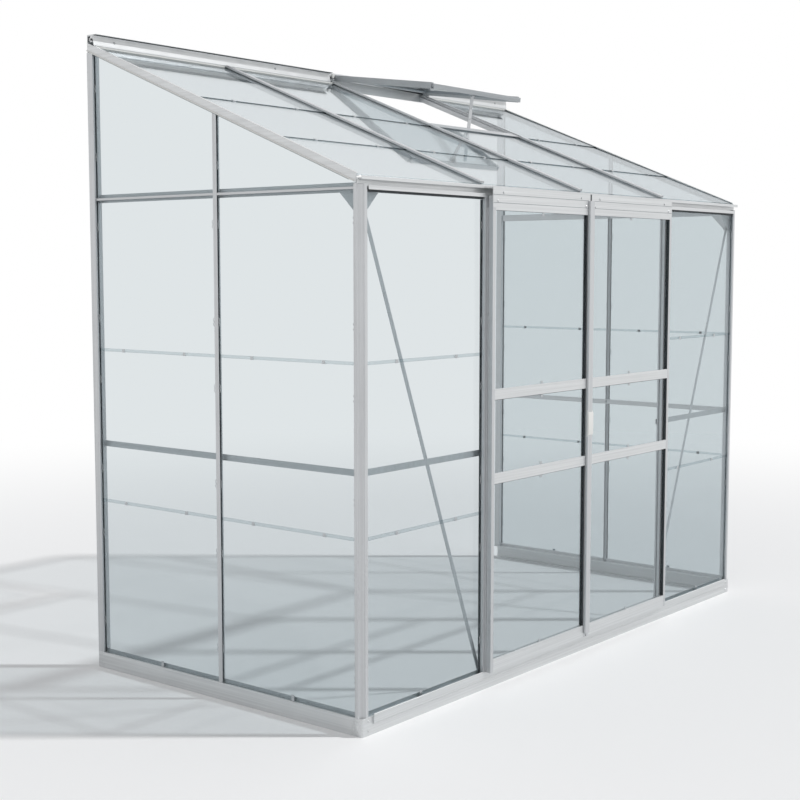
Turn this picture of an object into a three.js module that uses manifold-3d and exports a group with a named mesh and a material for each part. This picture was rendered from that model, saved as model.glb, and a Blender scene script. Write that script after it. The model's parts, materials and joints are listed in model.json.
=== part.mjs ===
// A lean-to greenhouse of aluminium bars and horticultural glass, in millimetres.
// Z is up, the house wall is at +Y, and two sliding doors are in front at -Y.
// A height is above the ground. A depth is measured inwards from the front face, from an
// end face or from the roof plane. A drop is measured downwards from what it hangs on.

import * as THREE from 'three';
import { mergeVertices } from 'three/addons/utils/BufferGeometryUtils.js';
import Module from 'manifold-3d';

const wasm = await Module();
wasm.setup();

// Layout
const bays = 4; // along the front
const bayPitch = 622; // between the front uprights and between the roof bars
const endPitch = 604; // between the uprights of an end
const cornerInset = 23.5; // the outer face to the first pitch line
const eaveHeight = 1719; // the roof plane above the front face
const roofPitch = THREE.MathUtils.degToRad(22);
const halfLength = (bays / 2) * bayPitch + cornerInset;
const halfDepth = endPitch + cornerInset;

// Clearances and allowances
const fitGap = 0.3; // between pieces that meet
const edgeGap = 1; // a pane's edge to the bottom of its groove
const sink = 1; // how far a joined feature starts inside what carries it
const overrun = 5; // how far a cutting tool passes the piece

// Glass
const glassThickness = 3;
const paneLap = 10;
const lowerSeam = 610; // foot of the second pane of a wall column
const upperSeam = 1150;
const roofGlassStart = 13; // along the slope from the front face
const lowerRoofSeam = 364;
const upperRoofSeam = 764;
const gableTopGap = 0.6;
const paneLean = glassThickness - fitGap; // an upper pane's foot lies on the lower pane's head

// Glazing bars: a nose outside, a slot for the glass, a seat flange and a channel inside
const barNose = 18;
const noseThickness = 1.8;
const barWeb = 3;
const glazingSlot = 6.7;
const barFlange = 18;
const flangeThickness = 1.5;
const barChannel = 10;
const barWall = 1.5;
const studInset = 5; // the nose lies this deep behind the face
const studChannelDepth = 7.4;
const roofChannelDepth = 18;
const jambNose = 24;
const jambProud = 4;
const slotStart = studInset + noseThickness;
const slotEnd = slotStart + glazingSlot;
const studDepth = slotEnd + flangeThickness + studChannelDepth;
const roofSlotEnd = noseThickness + glazingSlot;
const roofSeatUnderside = roofSlotEnd + flangeThickness;
const barDepth = roofSeatUnderside + roofChannelDepth;

// Rake bars, which close the roof at both ends
const rakeWall = 4;
const rakeCap = 12;
const rakeSeat = 16;

// Posts
const postSize = 30;
const coveRadius = 17;
const grooveDepth = 6;
const coveSteps = 8;

// Base
const sillHeight = 58;
const sillReach = 40;
const sillWall = 3;
const sillLipReach = 6.5;
const sillLipBottom = 33;
const sillLipTop = 66;
const sillLipThickness = 2.2;
const castingLength = 51.5; // along the front
const castingWidth = 45.5; // along the end
const castingRadius = 8;
const roundSteps = 6;
const boltRadius = 4.5;
const boltHeight = 2.5;
const boltSides = 6;
const castingBoltLow = 14.5;
const castingBoltHigh = 45.5;
const castingFrontBoltInset = 30.5;
const castingSideBoltInset = 22.5;
const sillEndBoltInset = 25.5;
const sillEndBoltLow = 17;
const sillEndBoltHigh = 48;

// Front eave rail: a gutter on top, the doors' track below it and a shelf for the bars
const railProud = 4.5;
const railWall = 3;
const railLip = 2.5;
const gutterDrop = 2; // the gutter's rim below the eave height
const gutterDepth = 5;
const trackOpening = 22;
const trackDepth = 18;
const trackUpstand = 2.5;
const trackDownstand = 3;
const railSkirt = 7;
const railWebDrop = 14;
const barEndGap = 3;
const shelfReach = 27;
const trackEndGap = 2.5;
const railFrontY = -halfDepth - railProud;
const railWebY = railFrontY + trackDepth;
const railBackY = railWebY + railWall;
const barStartY = railBackY + barEndGap;
const gutterTop = eaveHeight - gutterDrop;
const troughFloor = gutterTop - gutterDepth;
const trackCeiling = troughFloor - railWall;
const trackFloor = trackCeiling - trackOpening;
const trackUnderside = trackFloor - railWall;
const skirtBottom = trackUnderside - railSkirt;
const railBottom = trackUnderside - railWebDrop;
const shelfTop = roofTopAt(barStartY) - plumb(barDepth) - fitGap;
const shelfUnderside = shelfTop - railWall;
const trackHalfLength = halfLength - postSize - trackEndGap;

// End eave rails
const backGap = 0.4; // a stud's channel to the rail and girt behind it
const endRailWall = 2;
const endRailWebThickness = 2.2;
const endRailLipDrop = 8;
const endRailFlange = 12.2;
const endRailFlangeGap = 0.5; // above the front rail's shelf
const notchGap = 0.5;
const behindStud = studDepth + backGap;
const endRailFloorTop = trackUnderside + endRailWall;

// Girts and braces
const girtBottom = 808;
const girtHeight = 21;
const girtThickness = 3;
const braceWidth = 15;
const braceThickness = 2.2;
const braceBite = 0.2;
const braceNutRadius = 5;
const braceNutHeight = 5;
const braceHeadInset = 21.5; // from the end face
const braceHeadDrop = 43; // below the eave height
const braceFootOffset = 5; // past the jamb's middle line
const braceFootRise = 4; // above the base
const frontGirtOverlap = 10; // past the jamb's middle line

// Wall plate with the hinge channel of the vent
const plateWall = 3;
const plateDrop = 36;
const plateEndInset = 3;
const hingeSetback = 21.5;
const hingeRise = 17.6;
const plateCrown = 17;
const plateFlange = 4.5;
const socketBore = 4.9;
const socketRadius = 9;
const mouthAbove = 13; // degrees above the forward direction
const mouthBelow = 43; // degrees below it
const socketNeck = 60; // degrees, where the channel's back meets the plate's flange
const socketSteps = 16;
const hingeY = halfDepth - hingeSetback;
const hingeZ = roofTopAt(hingeY) + hingeRise;
const plateTop = hingeZ + plateCrown;
const plateBottom = roofTopAt(halfDepth) - plateDrop;

// Vent, in its own frame: the hinge line is the origin and the vent reaches towards -Y
const ventBay = 2; // the third bay from the left, counted from 0
const ventLift = THREE.MathUtils.degToRad(14.2); // open, above the roof's own slope
const ventWidth = 618;
const ventStart = 12;
const ventReach = 538;
const ventThickness = 13;
const ventSide = 14;
const ventSideInset = 12; // the side bars end this far behind the foot rail's edge
const ventSideAbove = 11;
const ventSideBelow = 13.5;
const ventRailInset = 4; // the rails' ends behind the side bars' outer faces
const ventHead = 18;
const ventFoot = 22;
const rebateWidth = 5;
const rebateDepth = 9;
const ventLipThickness = 3;
const ventLipDrop = 6;
const beadRadius = 4.2;
const neckThickness = 3;
const beadSides = 16;

// Stay arm and its bracket under the vent
const pivotReach = 505;
const pivotDrop = 15.6;
const bracketWidth = 28;
const bracketFront = 530;
const bracketBack = 500;
const bracketThickness = 2.5;
const lugThickness = 3;
const lugDrop = 19;
const stayPinRadius = 2.2;
const stayBore = 2.7;
const knuckleRadius = 5;
const stayWidth = 20;
const stayThickness = 3;
const stayLength = 268;
const stayStart = 4;
const stayHoleRadius = 4;
const stayHoleSpacing = 45;
const stayHolesEachWay = 2;
const holeSides = 12;
const knuckleGap = 0.5;

// Vent sill bar, along the slope from the front face
const sillBarStart = 763;
const sillBarReach = 40;
const sillBarPlate = 2;
const sillBarWebInset = 12;
const sillBarWeb = 3;
const sillBarWebDrop = 15;
const sillBarLeg = 2.5;
const sillBarLegDrop = 7;
const pegRadius = 3;
const pegDrop = 11;
const pegGap = 0.6;

// Doors
const doorMiddleGap = 3; // each door's edge to the middle of the front
const doorThickness = 18;
const doorStandOff = 9.5; // the door's back to the front face
const doorBottom = 61.5;
const doorTopDrop = 6; // below the gutter's rim
const doorPlate = 3;
const doorPlateHeight = 68;
const doorPlateReturn = 10;
const doorHeadHeight = 8;
const doorFootHeight = 45.5;
const stileWidth = 16;
const tongueHeight = 40;
const doorGlassInset = 7.4;
const doorGroove = 7;
const midRailThickness = 6.9;
const midRailHeight = 36.5;
const lowerMidRail = 713;
const upperMidRail = 1000;
const stileBoltInset = 29;
const stileBoltRise = 22.5; // above the foot of the top rail's plate
const handleBottom = 820;
const handleHeight = 99;
const handleWidth = 12;
const handleReach = 12;
const handleTaper = 10;
const doorWidth = bayPitch - doorMiddleGap; // to the jamb's middle line
const doorFrontY = -halfDepth - doorStandOff - doorThickness;
const doorBackY = doorFrontY + doorThickness;
const doorGlassY = doorFrontY + doorGlassInset;
const doorTop = gutterTop - doorTopDrop;
const doorPlateBottom = doorTop - doorPlateHeight;
const doorHeadBottom = doorPlateBottom - doorHeadHeight;
const doorFootTop = doorBottom + doorFootHeight;

// Rollers on the pins of the doors' top rails
const rollerRadius = 7.5;
const rollerBore = 2.9;
const rollerWidth = 8;
const rollerSteps = 24;
const rollerSideGap = 0.5;
const rollerInset = 62; // from a door's edge
const rollerLipGap = 3.5; // behind the track's lips
const pinRadius = 2.5;
const shoulderRadius = 4;
const collarThickness = 1.3;
const pinSides = 12;
const rollerFrontY = railFrontY + railLip + rollerLipGap;
const rollerBackY = rollerFrontY + rollerWidth;
const rollerHeight = trackFloor + fitGap + rollerRadius;

// Finishes
const aluminium = { color: 0xb6babc, roughness: 0.42, metalness: 0.85 };
const brightAluminium = { color: 0xc9cccd, roughness: 0.34, metalness: 0.85 };
const glass = { color: 0xdcebea, roughness: 0.05, metalness: 0, transparent: true, opacity: 0.3 };
const nylon = { color: 0xe8e8e4, roughness: 0.55, metalness: 0 };

const xAxis = new THREE.Vector3(1, 0, 0);
const yAxis = new THREE.Vector3(0, 1, 0);
const zAxis = new THREE.Vector3(0, 0, 1);

// The roof plane's height above a place.
function roofTopAt(y) {
  return eaveHeight + Math.tan(roofPitch) * (y + halfDepth);
}

// A thickness square to the roof, measured straight down.
function plumb(thickness) {
  return thickness / Math.cos(roofPitch);
}

// The line between two bays, counted from the left end.
function bayLine(line) {
  return (line - bays / 2) * bayPitch;
}

// A place along the length, measured inwards from the left (-1) or right (+1) end.
function fromEnd(side, depth) {
  return side * (halfLength - depth);
}

// Outlines

function onCircle([centreA, centreB], radius, degrees) {
  const angle = THREE.MathUtils.degToRad(degrees);
  return [centreA + radius * Math.cos(angle), centreB + radius * Math.sin(angle)];
}

function arc(centre, radius, fromDegrees, toDegrees, steps) {
  return Array.from({ length: steps + 1 }, (_, step) =>
    onCircle(centre, radius, fromDegrees + ((toDegrees - fromDegrees) * step) / steps),
  );
}

function mirrored(half) {
  return [...half, ...half.map(([across, depth]) => [-across, depth]).reverse()];
}

function rectangle(a0, a1, b0, b1) {
  return [[a0, b0], [a1, b0], [a1, b1], [a0, b1]];
}

// A glazing bar's section as points of [across, depth].
function barSection(noseWidth, noseDepth, slotDepth, totalDepth) {
  const seat = slotDepth + glazingSlot;
  const seatBack = seat + flangeThickness;
  return mirrored([
    [noseWidth / 2, noseDepth],
    [noseWidth / 2, slotDepth],
    [barWeb / 2, slotDepth],
    [barWeb / 2, seat],
    [barFlange / 2, seat],
    [barFlange / 2, seatBack],
    [barChannel / 2, seatBack],
    [barChannel / 2, totalDepth],
    [barChannel / 2 - barWall, totalDepth],
    [barChannel / 2 - barWall, seatBack],
  ]);
}

// The section of a column of lapped panes as points of [depth, place along the column].
function lappedSection(start, end, seams, seatDepth) {
  const head = seatDepth - fitGap;
  const feet = [start, ...seams];
  const heads = [...seams.map((seam) => seam + paneLap), end];
  const innerFace = (pane, place) => {
    const raised = (heads[pane] - place) / (heads[pane] - feet[pane]);
    return head - paneLean * raised;
  };
  const outer = [];
  const inner = [];
  feet.forEach((foot, pane) => {
    const outerEnd = pane + 1 < feet.length ? feet[pane + 1] : end;
    const innerStart = pane > 0 ? heads[pane - 1] : start;
    outer.push([innerFace(pane, foot) - glassThickness, foot]);
    outer.push([innerFace(pane, outerEnd) - glassThickness, outerEnd]);
    inner.push([innerFace(pane, innerStart), innerStart]);
    inner.push([innerFace(pane, heads[pane]), heads[pane]]);
  });
  return [...outer, ...inner.reverse()];
}

// Solids

function prism(outline, length, holes = []) {
  const shape = new THREE.Shape(outline.map(([a, b]) => new THREE.Vector2(a, b)));
  shape.holes = holes.map((hole) => new THREE.Path(hole.map(([a, b]) => new THREE.Vector2(a, b))));
  return new THREE.ExtrudeGeometry(shape, { depth: length, bevelEnabled: false });
}

// An outline of [y, z] points, from one x to another.
function prismX(outline, x0, x1) {
  const turn = new THREE.Matrix4().makeBasis(yAxis, zAxis, xAxis);
  return prism(outline, Math.abs(x1 - x0)).applyMatrix4(turn).translate(Math.min(x0, x1), 0, 0);
}

// An outline of [x, z] points, from one y to another.
function prismY(outline, y0, y1, holes = []) {
  const turn = new THREE.Matrix4().makeBasis(xAxis, zAxis, yAxis.clone().negate());
  return prism(outline, y1 - y0, holes).applyMatrix4(turn).translate(0, y1, 0);
}

// An outline of [x, y] points, from one z to another.
function prismZ(outline, z0, z1) {
  return prism(outline, z1 - z0).translate(0, 0, z0);
}

function rod(direction, [x, y, z], radius, start, end, sides) {
  const turn = new THREE.Quaternion().setFromUnitVectors(yAxis, direction);
  const middle = direction.clone().multiplyScalar((start + end) / 2);
  return new THREE.CylinderGeometry(radius, radius, end - start, sides)
    .applyQuaternion(turn)
    .translate(x + middle.x, y + middle.y, z + middle.z);
}

function toSolid(geometry) {
  const bare = geometry.clone();
  bare.deleteAttribute('normal');
  bare.deleteAttribute('uv');
  const merged = mergeVertices(bare);
  return new wasm.Manifold(new wasm.Mesh({
    numProp: 3,
    vertProperties: new Float32Array(merged.attributes.position.array),
    triVerts: new Uint32Array(merged.index.array),
  }));
}

function toGeometry(solid) {
  const mesh = solid.getMesh();
  const geometry = new THREE.BufferGeometry();
  geometry.setAttribute('position', new THREE.BufferAttribute(mesh.vertProperties, 3));
  geometry.setIndex(new THREE.BufferAttribute(mesh.triVerts, 1));
  return geometry;
}

function joined(...geometries) {
  return toGeometry(geometries.map(toSolid).reduce((whole, next) => whole.add(next)));
}

function cutBy(geometry, ...tools) {
  return toGeometry(tools.map(toSolid).reduce((whole, tool) => whole.subtract(tool), toSolid(geometry)));
}

// What is left of a solid below a plane that lies a given depth under the roof plane.
function cutUnderRoof(geometry, depth) {
  const reach = halfDepth + overrun;
  const above = [
    [-reach, roofTopAt(-reach) - plumb(depth)],
    [reach, roofTopAt(reach) - plumb(depth)],
    [reach, roofTopAt(reach) + overrun],
    [-reach, roofTopAt(reach) + overrun],
  ];
  return cutBy(geometry, prismX(above, -halfLength - overrun, halfLength + overrun));
}

// A bolt head on a face, whose outward direction is given.
function boltHead(direction, place) {
  return rod(direction, place, boltRadius, -sink, boltHeight, boltSides);
}

const greenhouse = new THREE.Group();

// The group that everything stands in, with the middle of the footprint over the origin.
const structure = new THREE.Group();
const frontReach = -doorFrontY + handleReach;
structure.position.y = (frontReach - halfDepth) / 2;
greenhouse.add(structure);

function addPiece(name, geometry, finish, parent = structure) {
  const mesh = new THREE.Mesh(geometry, new THREE.MeshStandardMaterial(finish));
  mesh.name = name;
  parent.add(mesh);
}

// Base

// A sill's section as points of [depth, z], open towards the inside.
const sillSection = [
  [0, 0],
  [sillReach, 0],
  [sillReach, sillWall],
  [sillWall, sillWall],
  [sillWall, sillHeight - sillWall],
  [sillReach, sillHeight - sillWall],
  [sillReach, sillHeight],
  [0, sillHeight],
];

// The lip along the front sill, behind which the doors' feet run clear.
const sillLipSection = [
  ...arc([0, sillLipBottom + sillLipReach], sillLipReach, 270, 180, roundSteps),
  [-sillLipReach, sillLipTop - sillLipThickness],
  ...arc([sillLipThickness - sillLipReach, sillLipTop - sillLipThickness], sillLipThickness, 180, 90, roundSteps),
  [sillLipThickness - sillLipReach, sillHeight],
  [sink, sillHeight],
  [sink, sillLipBottom],
];

function cornerCasting(side) {
  const outer = fromEnd(side, 0);
  const inner = fromEnd(side, castingLength);
  const towards = side > 0 ? [0, -90] : [180, 270];
  const round = arc(
    [fromEnd(side, castingRadius), castingRadius - halfDepth], castingRadius, ...towards, roundSteps,
  );
  const outline = [
    [outer, castingWidth - halfDepth],
    ...round,
    [inner, -halfDepth],
    [inner, castingWidth - halfDepth],
  ];
  const forward = yAxis.clone().negate();
  const outward = xAxis.clone().multiplyScalar(side);
  const heads = [castingBoltLow, castingBoltHigh].flatMap((z) => [
    boltHead(forward, [fromEnd(side, castingFrontBoltInset), -halfDepth, z]),
    boltHead(outward, [outer, castingSideBoltInset - halfDepth, z]),
  ]);
  return joined(prismZ(outline, 0, sillHeight), ...heads);
}

function frontSill() {
  const toFront = ([depth, z]) => [depth - halfDepth, z];
  const end = halfLength - castingLength + sink;
  return joined(
    prismX(sillSection.map(toFront), -end, end),
    prismX(sillLipSection.map(toFront), -end, end),
    cornerCasting(-1),
    cornerCasting(1),
  );
}

function sideSill(side) {
  const outline = sillSection.map(([depth, z]) => [fromEnd(side, depth), z]);
  const outward = xAxis.clone().multiplyScalar(side);
  const heads = [sillEndBoltLow, sillEndBoltHigh].map((z) =>
    boltHead(outward, [fromEnd(side, 0), halfDepth - sillEndBoltInset, z]),
  );
  return joined(prismY(outline, castingWidth - halfDepth + fitGap, halfDepth), ...heads);
}

// Uprights

// Both posts' sections are points of [depth from the end, depth from the front or the wall].
const sideGroove = [
  [postSize, slotEnd],
  [postSize - grooveDepth, slotEnd],
  [postSize - grooveDepth, slotStart],
  [postSize, slotStart],
];
const rearGroove = [
  [slotStart, postSize],
  [slotStart, postSize - grooveDepth],
  [slotEnd, postSize - grooveDepth],
  [slotEnd, postSize],
];

function cornerPost(side) {
  const section = [
    ...arc([0, 0], coveRadius, 90, 0, coveSteps),
    [postSize, 0],
    ...[...sideGroove].reverse(),
    [postSize, postSize],
    ...[...rearGroove].reverse(),
    [0, postSize],
  ];
  const outline = section.map(([u, v]) => [fromEnd(side, u), v - halfDepth]);
  return prismZ(outline, sillHeight, shelfUnderside);
}

function wallPost(side) {
  const section = [[0, 0], [postSize, 0], [postSize, postSize], ...[...rearGroove].reverse(), [0, postSize]];
  const outline = section.map(([u, v]) => [fromEnd(side, u), halfDepth - v]);
  return cutUnderRoof(prismZ(outline, sillHeight, plateBottom - fitGap), barDepth + fitGap);
}

function endStud(side) {
  const section = barSection(barNose, studInset, slotStart, studDepth);
  const outline = section.map(([across, depth]) => [fromEnd(side, depth), across]);
  return cutUnderRoof(prismZ(outline, sillHeight, roofTopAt(barNose)), roofSeatUnderside + fitGap);
}

// A door jamb's nose stands in front of the face and reaches up to the track's skirt.
function jambStud(side) {
  const middle = side * bayPitch;
  const section = barSection(jambNose, -jambProud, slotStart, studDepth);
  const outline = section.map(([across, depth]) => [middle + across, depth - halfDepth]);
  const nose = rectangle(
    middle - jambNose / 2, middle + jambNose / 2, -jambProud - halfDepth, slotStart - halfDepth,
  );
  return joined(
    prismZ(outline, sillHeight, railBottom - fitGap),
    prismZ(nose, railBottom - fitGap - sink, skirtBottom - fitGap),
  );
}

// Eaves

function frontEaveRail() {
  const lipY = railFrontY + railLip;
  const shelfY = railBackY + shelfReach;
  const outline = [
    [railFrontY, skirtBottom],
    [lipY, skirtBottom],
    [lipY, trackUnderside],
    [railWebY, trackUnderside],
    [railWebY, railBottom],
    [railBackY, railBottom],
    [railBackY, shelfUnderside],
    [shelfY, shelfUnderside],
    [shelfY, shelfTop],
    [railBackY, shelfTop],
    [railBackY, troughFloor],
    [lipY, troughFloor],
    [lipY, gutterTop],
    [railFrontY, gutterTop],
    [railFrontY, trackCeiling - trackDownstand],
    [lipY, trackCeiling - trackDownstand],
    [lipY, trackCeiling],
    [railWebY, trackCeiling],
    [railWebY, trackFloor],
    [lipY, trackFloor],
    [lipY, trackFloor + trackUpstand],
    [railFrontY, trackFloor + trackUpstand],
  ];
  const postBackY = postSize - halfDepth - fitGap;
  const overPosts = [-1, 1].flatMap((side) => [
    prismX(
      rectangle(railFrontY - overrun, shelfY + overrun, railBottom - overrun, shelfUnderside),
      side * trackHalfLength, fromEnd(side, -overrun),
    ),
    prismX(
      rectangle(postBackY, shelfY + overrun, railBottom - overrun, gutterTop + overrun),
      side * trackHalfLength, fromEnd(side, -overrun),
    ),
  ]);
  return cutBy(prismX(outline, -halfLength, halfLength), ...overPosts);
}

function endEaveRail(side) {
  const webBack = behindStud + endRailWebThickness;
  const flangeUnderside = shelfTop + endRailFlangeGap;
  const section = [
    [studInset, trackUnderside + endRailWall - endRailLipDrop],
    [studInset + endRailWall, trackUnderside + endRailWall - endRailLipDrop],
    [studInset + endRailWall, trackUnderside],
    [behindStud, trackUnderside],
    [behindStud, railBottom],
    [webBack, railBottom],
    [webBack, flangeUnderside],
    [behindStud + endRailFlange, flangeUnderside],
    [behindStud + endRailFlange, flangeUnderside + endRailWall],
    [behindStud, flangeUnderside + endRailWall],
    [behindStud, endRailFloorTop],
    [studInset, endRailFloorTop],
  ];
  const outline = section.map(([depth, z]) => [fromEnd(side, depth), z]);
  const reach = halfDepth - postSize - fitGap;
  const notchHalf = barNose / 2 + notchGap;
  const notch = prismY(
    rectangle(
      fromEnd(side, -overrun), fromEnd(side, behindStud), railBottom - overrun, flangeUnderside + overrun,
    ),
    -notchHalf, notchHalf,
  );
  return cutBy(prismY(outline, -reach, reach), notch);
}

// Girts and braces

function endGirt(side) {
  const reach = halfDepth - postSize - fitGap;
  const outline = rectangle(
    fromEnd(side, behindStud), fromEnd(side, behindStud + girtThickness), girtBottom, girtBottom + girtHeight,
  );
  return prismY(outline, -reach, reach);
}

// A level strap behind the front glass with the diagonal strap bolted across it by a nut.
function frontBrace(side) {
  const strapFront = behindStud - halfDepth;
  const braceFront = strapFront + girtThickness - braceBite;
  const head = new THREE.Vector2(fromEnd(side, braceHeadInset), eaveHeight - braceHeadDrop);
  const foot = new THREE.Vector2(side * (bayPitch - braceFootOffset), sillHeight + braceFootRise);
  const along = foot.clone().sub(head).normalize();
  const across = new THREE.Vector2(-along.y, along.x).multiplyScalar(braceWidth / 2);
  const corners = [
    head.clone().add(across), foot.clone().add(across), foot.clone().sub(across), head.clone().sub(across),
  ];
  const postFace = postSize + fitGap;
  const strap = rectangle(
    fromEnd(side, postFace), side * (bayPitch - frontGirtOverlap), girtBottom, girtBottom + girtHeight,
  );
  const post = rectangle(
    fromEnd(side, postFace), fromEnd(side, -overrun), 0, eaveHeight,
  );
  const diagonal = cutBy(
    prismY(corners.map((corner) => corner.toArray()), braceFront, braceFront + braceThickness),
    prismY(post, braceFront - overrun, braceFront + braceThickness + overrun),
  );
  const middle = girtBottom + girtHeight / 2;
  const crossing = head.clone().lerp(foot, (head.y - middle) / (head.y - foot.y));
  const braceBack = [crossing.x, braceFront + braceThickness, middle];
  const nut = rod(yAxis, braceBack, braceNutRadius, -sink, braceNutHeight, boltSides);
  return joined(prismY(strap, strapFront, strapFront + girtThickness), diagonal, nut);
}

// Roof

// Leans a level bar, drawn with its top at z = 0, up the roof's slope.
function leaned(geometry) {
  const rise = Math.tan(roofPitch);
  const shear = new THREE.Matrix4().set(
    1, 0, 0, 0,
    0, 1, 0, 0,
    0, rise, 1, roofTopAt(0),
    0, 0, 0, 1,
  );
  return geometry.applyMatrix4(shear);
}

const barEndY = halfDepth - plateWall - fitGap;

function roofBar(x) {
  const section = barSection(barNose, 0, noseThickness, barDepth);
  const outline = section.map(([across, depth]) => [x + across, -plumb(depth)]);
  return leaned(prismY(outline, barStartY, barEndY));
}

function rakeBar(side) {
  const section = [
    [0, 0],
    [rakeCap, 0],
    [rakeCap, noseThickness],
    [rakeWall, noseThickness],
    [rakeWall, roofSlotEnd],
    [rakeSeat, roofSlotEnd],
    [rakeSeat, roofSeatUnderside],
    [rakeWall, roofSeatUnderside],
    [rakeWall, barDepth],
    [0, barDepth],
  ];
  const outline = section.map(([inset, depth]) => [fromEnd(side, inset), -plumb(depth)]);
  return leaned(prismY(outline, barStartY, barEndY));
}

// The plate on the house wall, with a round channel that the vent's bead hangs in.
function wallPlate() {
  const centre = [hingeY, hingeZ];
  const neck = arc(centre, socketRadius, mouthBelow - 180, socketNeck, socketSteps);
  const outline = [
    [halfDepth, plateBottom],
    [halfDepth, plateTop],
    [hingeY - socketRadius, plateTop],
    onCircle(centre, socketRadius, 180 - mouthAbove),
    ...arc(centre, socketBore, 180 - mouthAbove, mouthBelow - 180, socketSteps),
    ...neck,
    [neck[neck.length - 1][0], plateTop - plateFlange],
    [halfDepth - plateWall, plateTop - plateFlange],
    [halfDepth - plateWall, plateBottom],
  ];
  const end = halfLength - plateEndInset;
  return prismX(outline, -end, end);
}

// Pieces of the roof plane: y runs up the slope and z stands square to it.
const roofPlane = new THREE.Group();
roofPlane.position.set(0, -halfDepth, eaveHeight);
roofPlane.rotation.x = roofPitch;
structure.add(roofPlane);

// The vent's hinge and the stay arm as seen in the roof plane, as [up the slope, above it].
function inRoofPlane(y, z) {
  const ahead = y + halfDepth;
  const above = z - eaveHeight;
  return [
    ahead * Math.cos(roofPitch) + above * Math.sin(roofPitch),
    above * Math.cos(roofPitch) - ahead * Math.sin(roofPitch),
  ];
}

const [hingeSlope, hingeAbove] = inRoofPlane(hingeY, hingeZ);
const pivotSlope = hingeSlope - pivotReach * Math.cos(ventLift) - pivotDrop * Math.sin(ventLift);
const pivotAbove = hingeAbove + pivotReach * Math.sin(ventLift) - pivotDrop * Math.cos(ventLift);

// The arm hangs square to the vent: this is how far down it from the pivot the peg meets it.
const pegAlongArm = (pivotAbove + pegDrop) / Math.cos(ventLift);

function ventSillBar() {
  const end = sillBarStart + sillBarReach;
  const webStart = sillBarStart + sillBarWebInset;
  const outline = [
    [sillBarStart, -sillBarPlate],
    [webStart, -sillBarPlate],
    [webStart, -sillBarWebDrop],
    [webStart + sillBarWeb, -sillBarWebDrop],
    [webStart + sillBarWeb, -sillBarPlate],
    [end - sillBarLeg, -sillBarPlate],
    [end - sillBarLeg, -sillBarLegDrop],
    [end, -sillBarLegDrop],
    [end, 0],
    [sillBarStart, 0],
  ];
  const armPlace = pivotSlope - (pivotAbove + pegDrop + pegRadius) * Math.tan(ventLift);
  const pegTip = armPlace - stayThickness / 2 / Math.cos(ventLift) - pegGap;
  const start = bayLine(ventBay) + barFlange / 2 + fitGap;
  const stop = bayLine(ventBay + 1) - barFlange / 2 - fitGap;
  return joined(
    prismX(outline, start, stop),
    rod(yAxis, [(start + stop) / 2, 0, -pegDrop], pegRadius, webStart + sillBarWeb - sink, pegTip, pinSides),
  );
}

// Vent, drawn in its own frame

function ventFrame() {
  const half = ventWidth / 2;
  const faceZ = ventThickness / 2;
  const railHalf = half - ventRailInset;
  const leaf = prismX(rectangle(-ventReach, -ventStart, -faceZ, faceZ), -railHalf, railHalf);
  const sideBar = rectangle(ventSideInset - ventReach, -ventStart, -ventSideBelow, ventSideAbove);
  const daylightY = [ventFoot - ventReach, -ventStart - ventHead];
  const daylight = prismX(
    rectangle(...daylightY, -faceZ - overrun, faceZ + overrun), ventSide - half, half - ventSide,
  );
  const rebate = prismX(
    rectangle(daylightY[0] - rebateWidth, daylightY[1] + rebateWidth, faceZ - rebateDepth, ventSideAbove + overrun),
    ventSide - rebateWidth - half, half - ventSide + rebateWidth,
  );
  const lip = rectangle(-ventReach, ventLipThickness - ventReach, -faceZ - ventLipDrop, sink - faceZ);
  const neck = rectangle(-ventStart - sink, 0, -neckThickness / 2, neckThickness / 2);
  return joined(
    cutBy(
      joined(leaf, prismX(sideBar, -half, ventSide - half), prismX(sideBar, half - ventSide, half)),
      daylight,
      rebate,
    ),
    prismX(lip, -railHalf, railHalf),
    prismX(neck, -railHalf, railHalf),
    rod(xAxis, [0, 0, 0], beadRadius, -railHalf, railHalf, beadSides),
    ...stayBracket(),
  );
}

function stayBracket() {
  const half = bracketWidth / 2;
  const faceZ = -ventThickness / 2;
  const plate = rectangle(-bracketFront, -bracketBack, faceZ - bracketThickness, faceZ + sink);
  const lug = rectangle(
    -pivotReach - knuckleRadius, knuckleRadius - pivotReach, -lugDrop, faceZ - bracketThickness + sink,
  );
  return [
    prismX(plate, -half, half),
    prismX(lug, -half, lugThickness - half),
    prismX(lug, half - lugThickness, half),
    rod(xAxis, [0, -pivotReach, -pivotDrop], stayPinRadius, -half, half, pinSides),
  ];
}

function ventGlass() {
  const sideReach = ventWidth / 2 - ventSide + rebateWidth - edgeGap;
  const start = ventStart + ventHead - rebateWidth + edgeGap;
  const end = ventReach - ventFoot + rebateWidth - edgeGap;
  const seat = ventThickness / 2 - rebateDepth + fitGap;
  return prismX(rectangle(-end, -start, seat, seat + glassThickness), -sideReach, sideReach);
}

// The stay arm hangs from its pivot along -Z, with a row of holes for the peg.
function ventStay() {
  const strap = rectangle(-stayWidth / 2, stayWidth / 2, -stayLength, -stayStart);
  const holes = [];
  for (let step = -stayHolesEachWay; step <= stayHolesEachWay; step += 1) {
    const place = pegAlongArm + step * stayHoleSpacing;
    holes.push(arc([0, -place], stayHoleRadius, 0, 360, holeSides).slice(1));
  }
  const knuckleHalf = bracketWidth / 2 - lugThickness - knuckleGap;
  const knuckle = cutBy(
    rod(xAxis, [0, 0, 0], knuckleRadius, -knuckleHalf, knuckleHalf, beadSides),
    rod(xAxis, [0, 0, 0], stayBore, -knuckleHalf - overrun, knuckleHalf + overrun, beadSides),
  );
  return joined(prismY(strap, -stayThickness / 2, stayThickness / 2, holes), knuckle);
}

// Doors, with side -1 for the left one and +1 for the right one

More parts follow.
